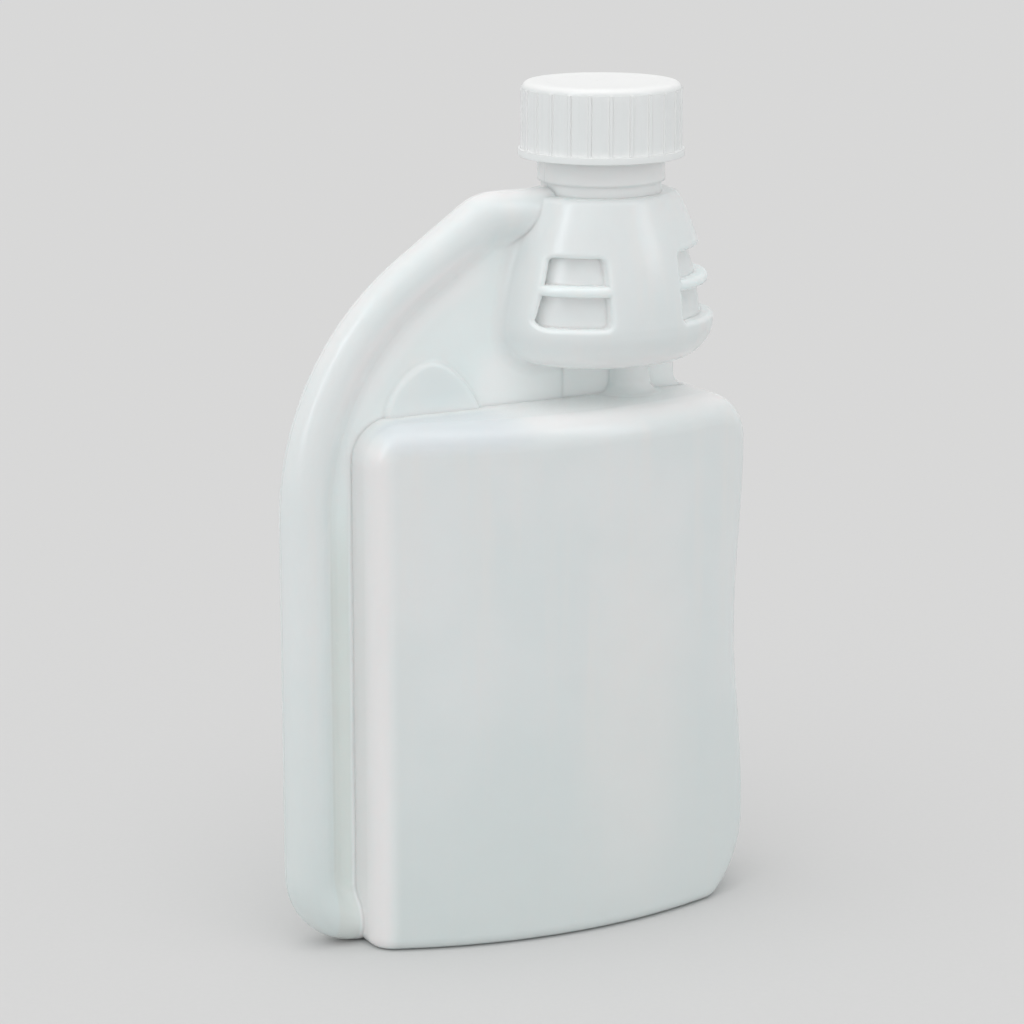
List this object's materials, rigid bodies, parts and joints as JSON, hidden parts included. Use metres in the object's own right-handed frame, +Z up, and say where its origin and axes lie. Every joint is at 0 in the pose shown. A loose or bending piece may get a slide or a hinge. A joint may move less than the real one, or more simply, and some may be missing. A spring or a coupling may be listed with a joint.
{
  "type": "pond treatment dosing bottle",
  "caption": "Flat squeeze bottle with a side riser tube filling a dosing chamber under a ribbed screw cap; squeeze to fill the chamber, then pour.",
  "frame": {"origin": "middle of the bottle's overall width and depth, on the surface it stands on", "axes": "+Z up along the neck, +X from the riser tube towards the neck side, -Y towards the front face"},
  "size_m": [0.0978, 0.0406, 0.165],
  "materials": {
    "bottle": "natural milky polyethylene, blown, soft sheen",
    "cap": "white moulded polypropylene, satin",
    "liner": "white foamed polyethylene disc"
  },
  "bodies": {
    "bottle": {"bottle": "bottle"},
    "liner": {"liner": "liner"},
    "cap": {"cap": "cap"}
  },
  "joints": [
    {"name": "cap_lift", "type": "slide", "parent": "bottle", "child": "liner", "axis": [0, 0, 1], "range_m": [0, 0.0085]},
    {"name": "cap_turn", "type": "hinge", "parent": "liner", "child": "cap", "pos_m": [0.0199, 0, 0.1578], "axis": [0, 0, 1], "range_deg": [0, 720]}
  ],
  "couplings": [
    {"joint": "cap_lift", "follows": "cap_turn", "m_per_rad": 0.00067323}
  ]
}
